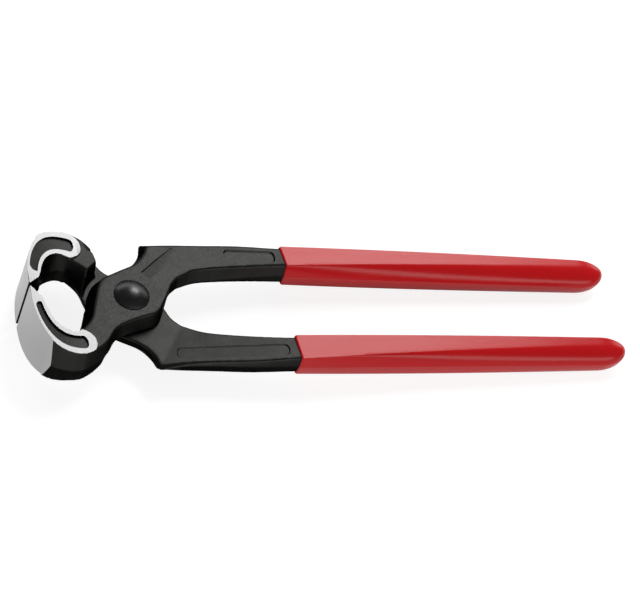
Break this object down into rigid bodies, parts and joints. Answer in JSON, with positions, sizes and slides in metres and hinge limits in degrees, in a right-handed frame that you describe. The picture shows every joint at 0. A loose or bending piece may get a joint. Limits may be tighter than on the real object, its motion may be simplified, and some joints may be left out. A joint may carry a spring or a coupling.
{
  "type": "end cutting pincers",
  "caption": "Forged steel end cutting pincers: black levers crossing on a domed rivet, broad ground jaws for pulling nails and nipping wire, and red dipped grips.",
  "frame": {"origin": "the middle of the closed cutting edges, on the plane where the two levers meet", "axes": "+X runs along the tool from the cutting edges to the handle ends, +Y is toward the front lever's handle, +Z is along the rivet toward the front lever's plate"},
  "size_m": [0.25, 0.0628, 0.0272],
  "materials": {
    "black_steel": "satin",
    "rivet_steel": "satin",
    "red_plastic": "glossy"
  },
  "bodies": {
    "front": {"front_lever": "black_steel", "front_grip": "red_plastic", "rivet": "rivet_steel"},
    "back": {"back_lever": "black_steel", "back_grip": "red_plastic"}
  },
  "joints": [
    {"name": "jaw_hinge", "type": "hinge", "parent": "front", "child": "back", "pos_m": [0.042, 0, 0], "axis": [0, 0, -1], "range_deg": [0, 36]}
  ]
}
